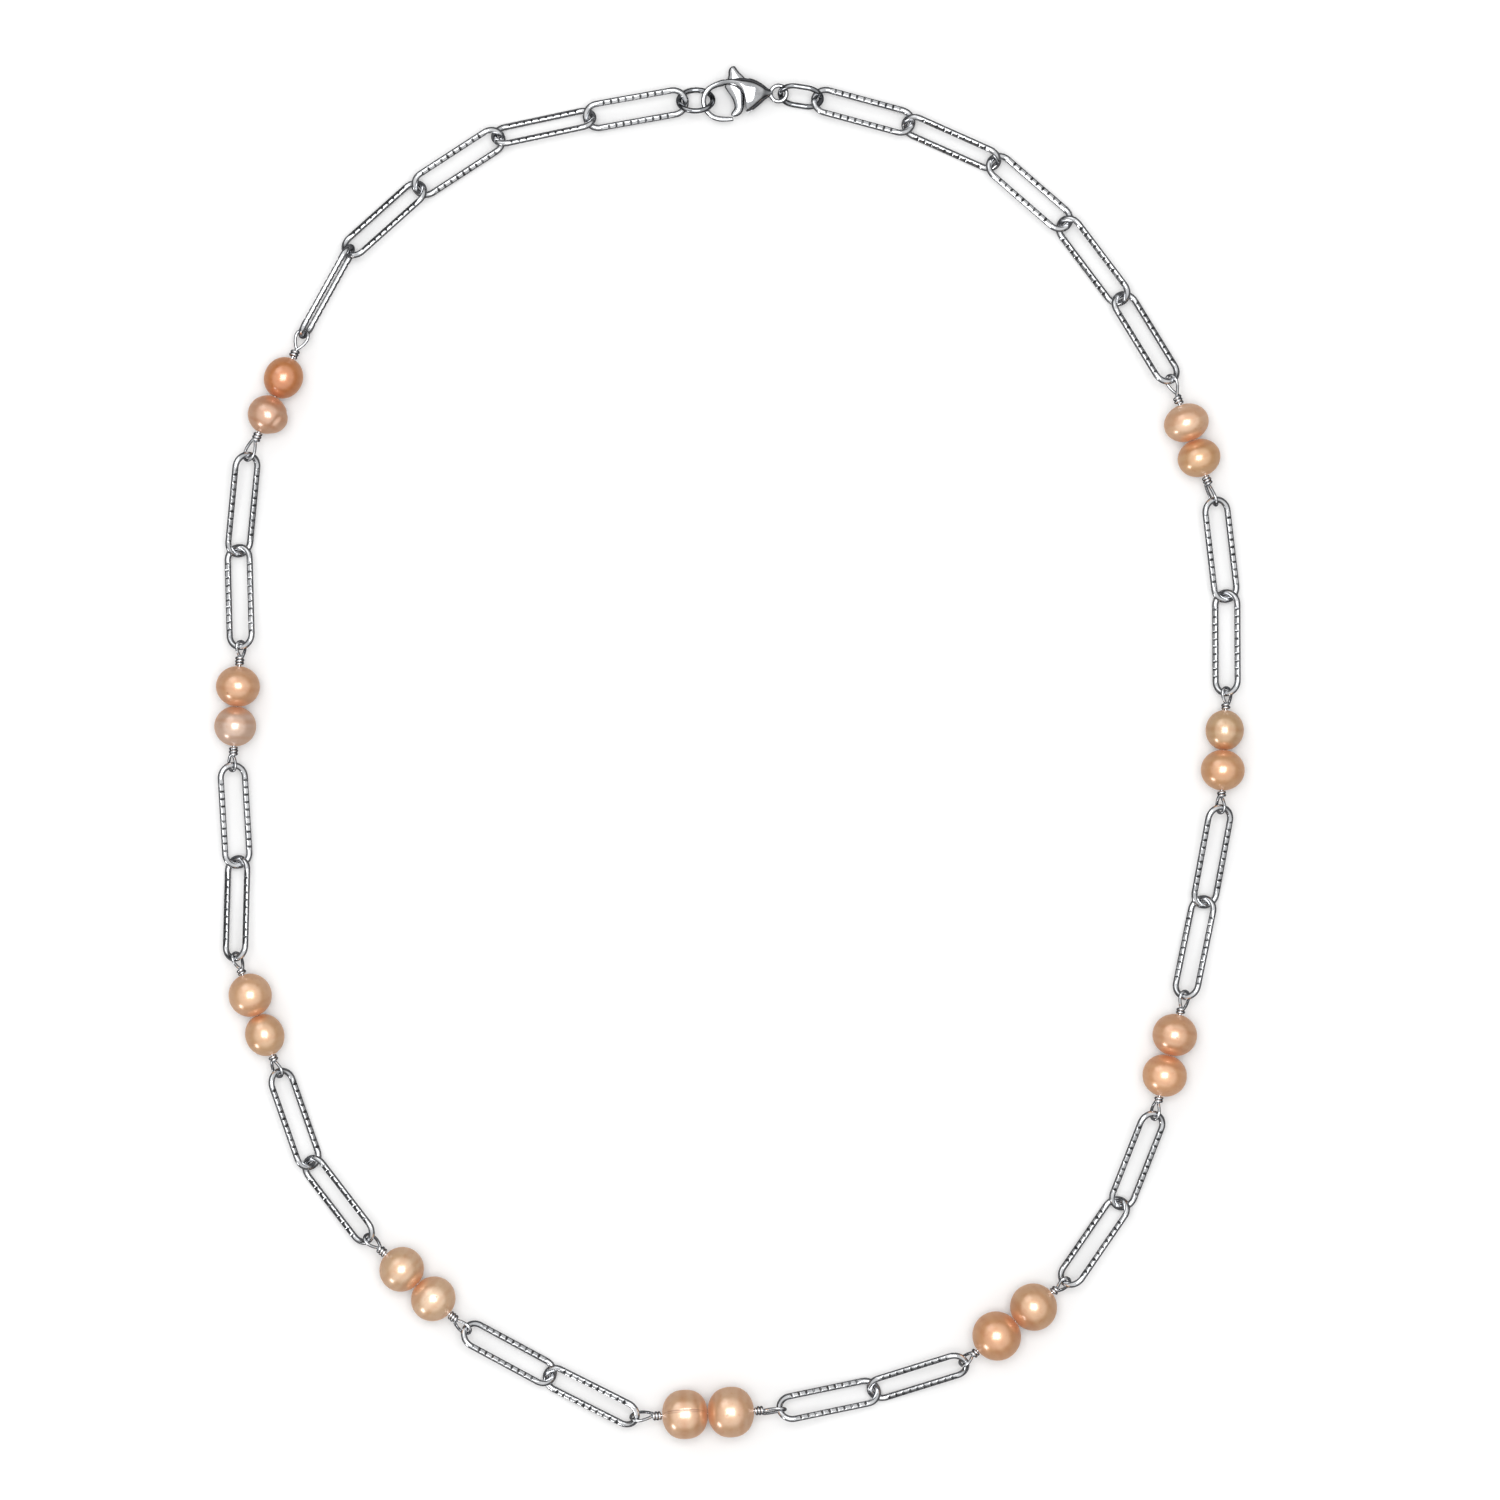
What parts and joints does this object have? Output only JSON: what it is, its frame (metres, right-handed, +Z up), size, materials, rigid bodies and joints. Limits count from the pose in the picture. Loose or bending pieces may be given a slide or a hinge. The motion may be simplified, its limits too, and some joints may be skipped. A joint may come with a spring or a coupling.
{
  "type": "pearl necklace",
  "caption": "Open-link wire chain with pairs of pearls wired into it at intervals, closed by jump rings and a spring-levered lobster clasp.",
  "frame": {"origin": "on the table, under the middle of the necklace's bounding box as it lies", "axes": "+Z up from the table it lies on, +Y from the bottom pearl station towards the clasp, +X to the right seen from above"},
  "size_m": [0.1406, 0.1874, 0.007],
  "materials": {
    "link_steel": "polished",
    "pearl_wire": "polished",
    "polished_steel": "polished",
    "spring_steel": "satin",
    "pearl": "gloss",
    "pearl_pale": "gloss"
  },
  "bodies": {
    "pearl_wire_front": {"pearl_wire_front": "pearl_wire"},
    "pearl_front_left": {"pearl_front_left": "pearl"},
    "pearl_front_right": {"pearl_front_right": "pearl"},
    "link_left_01": {"link_left_01": "link_steel"},
    "link_left_02": {"link_left_02": "link_steel"},
    "pearl_wire_left_1": {"pearl_wire_left_1": "pearl_wire"},
    "pearl_left_1_lower": {"pearl_left_1_lower": "pearl"},
    "pearl_left_1_upper": {"pearl_left_1_upper": "pearl"},
    "link_left_03": {"link_left_03": "link_steel"},
    "link_left_04": {"link_left_04": "link_steel"},
    "pearl_wire_left_2": {"pearl_wire_left_2": "pearl_wire"},
    "pearl_left_2_lower": {"pearl_left_2_lower": "pearl"},
    "pearl_left_2_upper": {"pearl_left_2_upper": "pearl"},
    "link_left_05": {"link_left_05": "link_steel"},
    "link_left_06": {"link_left_06": "link_steel"},
    "pearl_wire_left_3": {"pearl_wire_left_3": "pearl_wire"},
    "pearl_left_3_lower": {"pearl_left_3_lower": "pearl_pale"},
    "pearl_left_3_upper": {"pearl_left_3_upper": "pearl"},
    "link_left_07": {"link_left_07": "link_steel"},
    "link_left_08": {"link_left_08": "link_steel"},
    "pearl_wire_left_4": {"pearl_wire_left_4": "pearl_wire"},
    "pearl_left_4_lower": {"pearl_left_4_lower": "pearl"},
    "pearl_left_4_upper": {"pearl_left_4_upper": "pearl"},
    "link_left_09": {"link_left_09": "link_steel"},
    "link_left_10": {"link_left_10": "link_steel"},
    "link_left_11": {"link_left_11": "link_steel"},
    "link_left_12": {"link_left_12": "link_steel"},
    "link_left_13": {"link_left_13": "link_steel"},
    "link_right_01": {"link_right_01": "link_steel"},
    "link_right_02": {"link_right_02": "link_steel"},
    "pearl_wire_right_1": {"pearl_wire_right_1": "pearl_wire"},
    "pearl_right_1_lower": {"pearl_right_1_lower": "pearl"},
    "pearl_right_1_upper": {"pearl_right_1_upper": "pearl"},
    "link_right_03": {"link_right_03": "link_steel"},
    "link_right_04": {"link_right_04": "link_steel"},
    "pearl_wire_right_2": {"pearl_wire_right_2": "pearl_wire"},
    "pearl_right_2_lower": {"pearl_right_2_lower": "pearl"},
    "pearl_right_2_upper": {"pearl_right_2_upper": "pearl"},
    "link_right_05": {"link_right_05": "link_steel"},
    "link_right_06": {"link_right_06": "link_steel"},
    "pearl_wire_right_3": {"pearl_wire_right_3": "pearl_wire"},
    "pearl_right_3_lower": {"pearl_right_3_lower": "pearl"},
    "pearl_right_3_upper": {"pearl_right_3_upper": "pearl"},
    "link_right_07": {"link_right_07": "link_steel"},
    "link_right_08": {"link_right_08": "link_steel"},
    "pearl_wire_right_4": {"pearl_wire_right_4": "pearl_wire"},
    "pearl_right_4_lower": {"pearl_right_4_lower": "pearl"},
    "pearl_right_4_upper": {"pearl_right_4_upper": "pearl"},
    "link_right_09": {"link_right_09": "link_steel"},
    "link_right_10": {"link_right_10": "link_steel"},
    "link_right_11": {"link_right_11": "link_steel"},
    "link_right_12": {"link_right_12": "link_steel"},
    "link_right_13": {"link_right_13": "link_steel"},
    "hook_ring": {"hook_ring": "polished_steel"},
    "tail_ring": {"tail_ring": "polished_steel"},
    "clasp": {"clasp_body": "polished_steel", "clasp_pin": "polished_steel", "clasp_spring": "spring_steel"},
    "clasp_lever": {"clasp_lever": "polished_steel"}
  },
  "joints": [
    {"name": "clasp_lever_open", "type": "hinge", "parent": "clasp", "child": "clasp_lever", "pos_m": [0.0013, 0.09126, 0.00209], "axis": [-0.0069, -0.0006, 1], "range_deg": [0, 20], "stiffness_Nm_per_rad": 0.002, "springref_deg": -11.46, "deforming": ["clasp_spring"]},
    {"name": "pearl_front_right_spin", "type": "hinge", "parent": "pearl_wire_front", "child": "pearl_front_right", "pos_m": [-0.00292, -0.09026, 0.00348], "axis": [0.9985, 0.0523, 0.016], "continuous": true},
    {"name": "link_left_01_swing", "type": "hinge", "parent": "pearl_wire_front", "child": "link_left_01", "pos_m": [-0.0132, -0.0908, 0.00332], "axis": [0.0581, 0.9983, -0.007], "range_deg": [0, 6]},
    {"name": "link_left_02_swing", "type": "hinge", "parent": "link_left_01", "child": "link_left_02", "pos_m": [-0.02459, -0.08525, 0.00133], "axis": [0.1244, 0.9922, 0.0042], "range_deg": [0, 6]},
    {"name": "pearl_wire_left_1_swing", "type": "hinge", "parent": "link_left_02", "child": "pearl_wire_left_1", "pos_m": [-0.03568, -0.0791, 0.00318], "axis": [0.1923, 0.9813, -0.0065], "range_deg": [0, 6]},
    {"name": "link_left_03_swing", "type": "hinge", "parent": "pearl_wire_left_1", "child": "link_left_03", "pos_m": [-0.04951, -0.06621, 0.00318], "axis": [0.2884, 0.9575, -0.0069], "range_deg": [0, 6]},
    {"name": "link_left_04_swing", "type": "hinge", "parent": "link_left_03", "child": "link_left_04", "pos_m": [-0.05732, -0.05621, 0.00133], "axis": [0.3517, 0.9361, 0.0047], "range_deg": [0, 6]},
    {"name": "pearl_wire_left_2_swing", "type": "hinge", "parent": "link_left_04", "child": "pearl_wire_left_2", "pos_m": [-0.06147, -0.04414, 0.00243], "axis": [0.4035, 0.915, -0.0025], "range_deg": [0, 6]},
    {"name": "link_left_05_swing", "type": "hinge", "parent": "pearl_wire_left_2", "child": "link_left_05", "pos_m": [-0.06745, -0.02771, 0.00334], "axis": [0.4847, 0.8746, -0.0095], "range_deg": [0, 6]},
    {"name": "link_left_06_swing", "type": "hinge", "parent": "link_left_05", "child": "link_left_06", "pos_m": [-0.06723, -0.01505, 0.00133], "axis": [0.5266, 0.8501, 0.006], "range_deg": [0, 6]},
    {"name": "pearl_wire_left_3_swing", "type": "hinge", "parent": "link_left_06", "child": "pearl_wire_left_3", "pos_m": [-0.0679, -0.00233, 0.00277], "axis": [0.5805, 0.8142, -0.0063], "range_deg": [0, 6]},
    {"name": "link_left_07_swing", "type": "hinge", "parent": "pearl_wire_left_3", "child": "link_left_07", "pos_m": [-0.0667, 0.01482, 0.00324], "axis": [0.6527, 0.7576, -0.0121], "range_deg": [0, 6]},
    {"name": "link_left_08_swing", "type": "hinge", "parent": "link_left_07", "child": "link_left_08", "pos_m": [-0.06714, 0.02749, 0.00133], "axis": [0.7228, 0.691, 0.0082], "range_deg": [0, 6]},
    {"name": "pearl_wire_left_4_swing", "type": "hinge", "parent": "link_left_08", "child": "pearl_wire_left_4", "pos_m": [-0.06582, 0.04006, 0.0035], "axis": [0.7896, 0.6134, -0.018], "range_deg": [0, 6]},
    {"name": "link_left_09_swing", "type": "hinge", "parent": "pearl_wire_left_4", "child": "link_left_09", "pos_m": [-0.05815, 0.05729, 0.0023], "axis": [0.8674, 0.4975, -0.0037], "range_deg": [0, 6]},
    {"name": "link_left_10_swing", "type": "hinge", "parent": "link_left_09", "child": "link_left_10", "pos_m": [-0.05193, 0.0685, 0.00228], "axis": [0.9226, 0.3858, -0.0041], "range_deg": [0, 6]},
    {"name": "link_left_11_swing", "type": "hinge", "parent": "link_left_10", "child": "link_left_11", "pos_m": [-0.04242, 0.07707, 0.00168], "axis": [0.9571, 0.2895, 0.0092], "range_deg": [0, 6]},
    {"name": "link_left_12_swing", "type": "hinge", "parent": "link_left_11", "child": "link_left_12", "pos_m": [-0.03166, 0.08405, 0.00168], "axis": [0.9852, 0.171, 0.0129], "range_deg": [0, 6]},
    {"name": "link_left_13_swing", "type": "hinge", "parent": "link_left_12", "child": "link_left_13", "pos_m": [-0.01912, 0.08672, 0.00168], "axis": [0.9896, 0.1422, 0.0229], "range_deg": [0, 6]},
    {"name": "hook_ring_swing", "type": "hinge", "parent": "link_left_13", "child": "hook_ring", "pos_m": [-0.0065, 0.08894, 0.00206], "axis": [0.9994, 0.0349, 0], "range_deg": [-8, 12]},
    {"name": "link_right_01_swing", "type": "hinge", "parent": "pearl_wire_front", "child": "link_right_01", "pos_m": [0.00736, -0.08972, 0.00365], "axis": [-0.0564, 0.9984, -0.0089], "range_deg": [-4, 0]},
    {"name": "link_right_02_swing", "type": "hinge", "parent": "link_right_01", "child": "link_right_02", "pos_m": [0.01974, -0.08732, 0.00133], "axis": [-0.1264, 0.992, 0.0041], "range_deg": [-4, 0]},
    {"name": "pearl_wire_right_1_swing", "type": "hinge", "parent": "link_right_02", "child": "pearl_wire_right_1", "pos_m": [0.03174, -0.08342, 0.00362], "axis": [-0.1959, 0.9806, -0.0089], "range_deg": [-4, 0]},
    {"name": "link_right_03_swing", "type": "hinge", "parent": "pearl_wire_right_1", "child": "link_right_03", "pos_m": [0.04616, -0.07216, 0.00319], "axis": [-0.2901, 0.957, -0.0067], "range_deg": [-4, 0]},
    {"name": "link_right_04_swing", "type": "hinge", "parent": "link_right_03", "child": "link_right_04", "pos_m": [0.05343, -0.06177, 0.00133], "axis": [-0.3489, 0.9371, 0.0045], "range_deg": [-4, 0]},
    {"name": "pearl_wire_right_2_swing", "type": "hinge", "parent": "link_right_04", "child": "pearl_wire_right_2", "pos_m": [0.05798, -0.04992, 0.00313], "axis": [-0.4002, 0.9164, -0.0071], "range_deg": [-4, 0]},
    {"name": "link_right_05_swing", "type": "hinge", "parent": "pearl_wire_right_2", "child": "link_right_05", "pos_m": [0.06221, -0.03294, 0.00313], "axis": [-0.4698, 0.8827, -0.0077], "range_deg": [-4, 0]},
    {"name": "link_right_06_swing", "type": "hinge", "parent": "link_right_05", "child": "link_right_06", "pos_m": [0.06485, -0.02052, 0.00133], "axis": [-0.5249, 0.8512, 0.0057], "range_deg": [-4, 0]},
    {"name": "pearl_wire_right_3_swing", "type": "hinge", "parent": "link_right_06", "child": "pearl_wire_right_3", "pos_m": [0.06705, -0.00808, 0.00349], "axis": [-0.5833, 0.8122, -0.0119], "range_deg": [-4, 0]},
    {"name": "link_right_07_swing", "type": "hinge", "parent": "pearl_wire_right_3", "child": "link_right_07", "pos_m": [0.06792, 0.00851, 0.00227], "axis": [-0.6593, 0.7519, -0.002], "range_deg": [-4, 0]},
    {"name": "link_right_08_swing", "type": "hinge", "parent": "link_right_07", "child": "link_right_08", "pos_m": [0.06792, 0.02129, 0.00133], "axis": [-0.7216, 0.6923, 0.0075], "range_deg": [-4, 0]},
    {"name": "pearl_wire_right_4_swing", "type": "hinge", "parent": "link_right_08", "child": "pearl_wire_right_4", "pos_m": [0.06636, 0.03393, 0.00284], "axis": [-0.7816, 0.6238, -0.0088], "range_deg": [-4, 0]},
    {"name": "link_right_09_swing", "type": "hinge", "parent": "pearl_wire_right_4", "child": "link_right_09", "pos_m": [0.06011, 0.05112, 0.00338], "axis": [-0.8558, 0.5169, -0.0179], "range_deg": [-4, 0]},
    {"name": "link_right_10_swing", "type": "hinge", "parent": "link_right_09", "child": "link_right_10", "pos_m": [0.05356, 0.06201, 0.00168], "axis": [-0.9012, 0.4333, 0.0061], "range_deg": [-4, 0]},
    {"name": "link_right_11_swing", "type": "hinge", "parent": "link_right_10", "child": "link_right_11", "pos_m": [0.04585, 0.07225, 0.00168], "axis": [-0.9449, 0.3273, 0.0074], "range_deg": [-4, 0]},
    {"name": "link_right_12_swing", "type": "hinge", "parent": "link_right_11", "child": "link_right_12", "pos_m": [0.03617, 0.08066, 0.00168], "axis": [-0.9774, 0.2114, 0.0095], "range_deg": [-4, 0]},
    {"name": "link_right_13_swing", "type": "hinge", "parent": "link_right_12", "child": "link_right_13", "pos_m": [0.02446, 0.08587, 0.00168], "axis": [-0.9931, 0.1168, 0.0139], "range_deg": [-4, 0]},
    {"name": "tail_ring_swing", "type": "hinge", "parent": "link_right_13", "child": "tail_ring", "pos_m": [0.01209, 0.08919, 0.00213], "axis": [-1, -0.008, -0.0047], "range_deg": [-12, 12]},
    {"name": "clasp_swing", "type": "hinge", "parent": "tail_ring", "child": "clasp", "pos_m": [0.00739, 0.08993, 0.00213], "axis": [-0.9964, -0.084, -0.0069], "range_deg": [-10, 8]},
    {"name": "pearl_front_left_spin", "type": "hinge", "parent": "pearl_wire_front", "child": "pearl_front_left", "pos_m": [-0.00292, -0.09026, 0.00348], "axis": [0.9985, 0.0523, 0.016], "continuous": true},
    {"name": "pearl_left_1_lower_spin", "type": "hinge", "parent": "pearl_wire_left_1", "child": "pearl_left_1_lower", "pos_m": [-0.04259, -0.07265, 0.00318], "axis": [-0.7314, 0.682, 0], "continuous": true},
    {"name": "pearl_left_1_upper_spin", "type": "hinge", "parent": "pearl_wire_left_1", "child": "pearl_left_1_upper", "pos_m": [-0.04259, -0.07265, 0.00318], "axis": [-0.7314, 0.682, 0], "continuous": true},
    {"name": "pearl_left_2_lower_spin", "type": "hinge", "parent": "pearl_wire_left_2", "child": "pearl_left_2_lower", "pos_m": [-0.06446, -0.03592, 0.00288], "axis": [-0.3416, 0.9384, 0.0517], "continuous": true},
    {"name": "pearl_left_2_upper_spin", "type": "hinge", "parent": "pearl_wire_left_2", "child": "pearl_left_2_upper", "pos_m": [-0.06446, -0.03592, 0.00288], "axis": [-0.3416, 0.9384, 0.0517], "continuous": true},
    {"name": "pearl_left_3_lower_spin", "type": "hinge", "parent": "pearl_wire_left_3", "child": "pearl_left_3_lower", "pos_m": [-0.0673, 0.00624, 0.00301], "axis": [0.0697, 0.9972, 0.0275], "continuous": true},
    {"name": "pearl_left_3_upper_spin", "type": "hinge", "parent": "pearl_wire_left_3", "child": "pearl_left_3_upper", "pos_m": [-0.0673, 0.00624, 0.00301], "axis": [0.0697, 0.9972, 0.0275], "continuous": true},
    {"name": "pearl_left_4_lower_spin", "type": "hinge", "parent": "pearl_wire_left_4", "child": "pearl_left_4_lower", "pos_m": [-0.06198, 0.04867, 0.0029], "axis": [0.4059, 0.9117, -0.0636], "continuous": true},
    {"name": "pearl_left_4_upper_spin", "type": "hinge", "parent": "pearl_wire_left_4", "child": "pearl_left_4_upper", "pos_m": [-0.06198, 0.04867, 0.0029], "axis": [0.4059, 0.9117, -0.0636], "continuous": true},
    {"name": "pearl_right_1_lower_spin", "type": "hinge", "parent": "pearl_wire_right_1", "child": "pearl_right_1_lower", "pos_m": [0.03895, -0.07779, 0.00341], "axis": [0.7878, 0.6155, -0.0234], "continuous": true},
    {"name": "pearl_right_1_upper_spin", "type": "hinge", "parent": "pearl_wire_right_1", "child": "pearl_right_1_upper", "pos_m": [0.03895, -0.07779, 0.00341], "axis": [0.7878, 0.6155, -0.0234], "continuous": true},
    {"name": "pearl_right_2_lower_spin", "type": "hinge", "parent": "pearl_wire_right_2", "child": "pearl_right_2_lower", "pos_m": [0.0601, -0.04143, 0.00313], "axis": [0.2419, 0.9703, 0], "continuous": true},
    {"name": "pearl_right_2_upper_spin", "type": "hinge", "parent": "pearl_wire_right_2", "child": "pearl_right_2_upper", "pos_m": [0.0601, -0.04143, 0.00313], "axis": [0.2419, 0.9703, 0], "continuous": true},
    {"name": "pearl_right_3_lower_spin", "type": "hinge", "parent": "pearl_wire_right_3", "child": "pearl_right_3_lower", "pos_m": [0.06748, 0.00022, 0.00288], "axis": [0.0522, 0.996, -0.0731], "continuous": true},
    {"name": "pearl_right_3_upper_spin", "type": "hinge", "parent": "pearl_wire_right_3", "child": "pearl_right_3_upper", "pos_m": [0.06748, 0.00022, 0.00288], "axis": [0.0522, 0.996, -0.0731], "continuous": true},
    {"name": "pearl_right_4_lower_spin", "type": "hinge", "parent": "pearl_wire_right_4", "child": "pearl_right_4_lower", "pos_m": [0.06324, 0.04252, 0.00311], "axis": [-0.3419, 0.9393, 0.0294], "continuous": true},
    {"name": "pearl_right_4_upper_spin", "type": "hinge", "parent": "pearl_wire_right_4", "child": "pearl_right_4_upper", "pos_m": [0.06324, 0.04252, 0.00311], "axis": [-0.3419, 0.9393, 0.0294], "continuous": true}
  ]
}
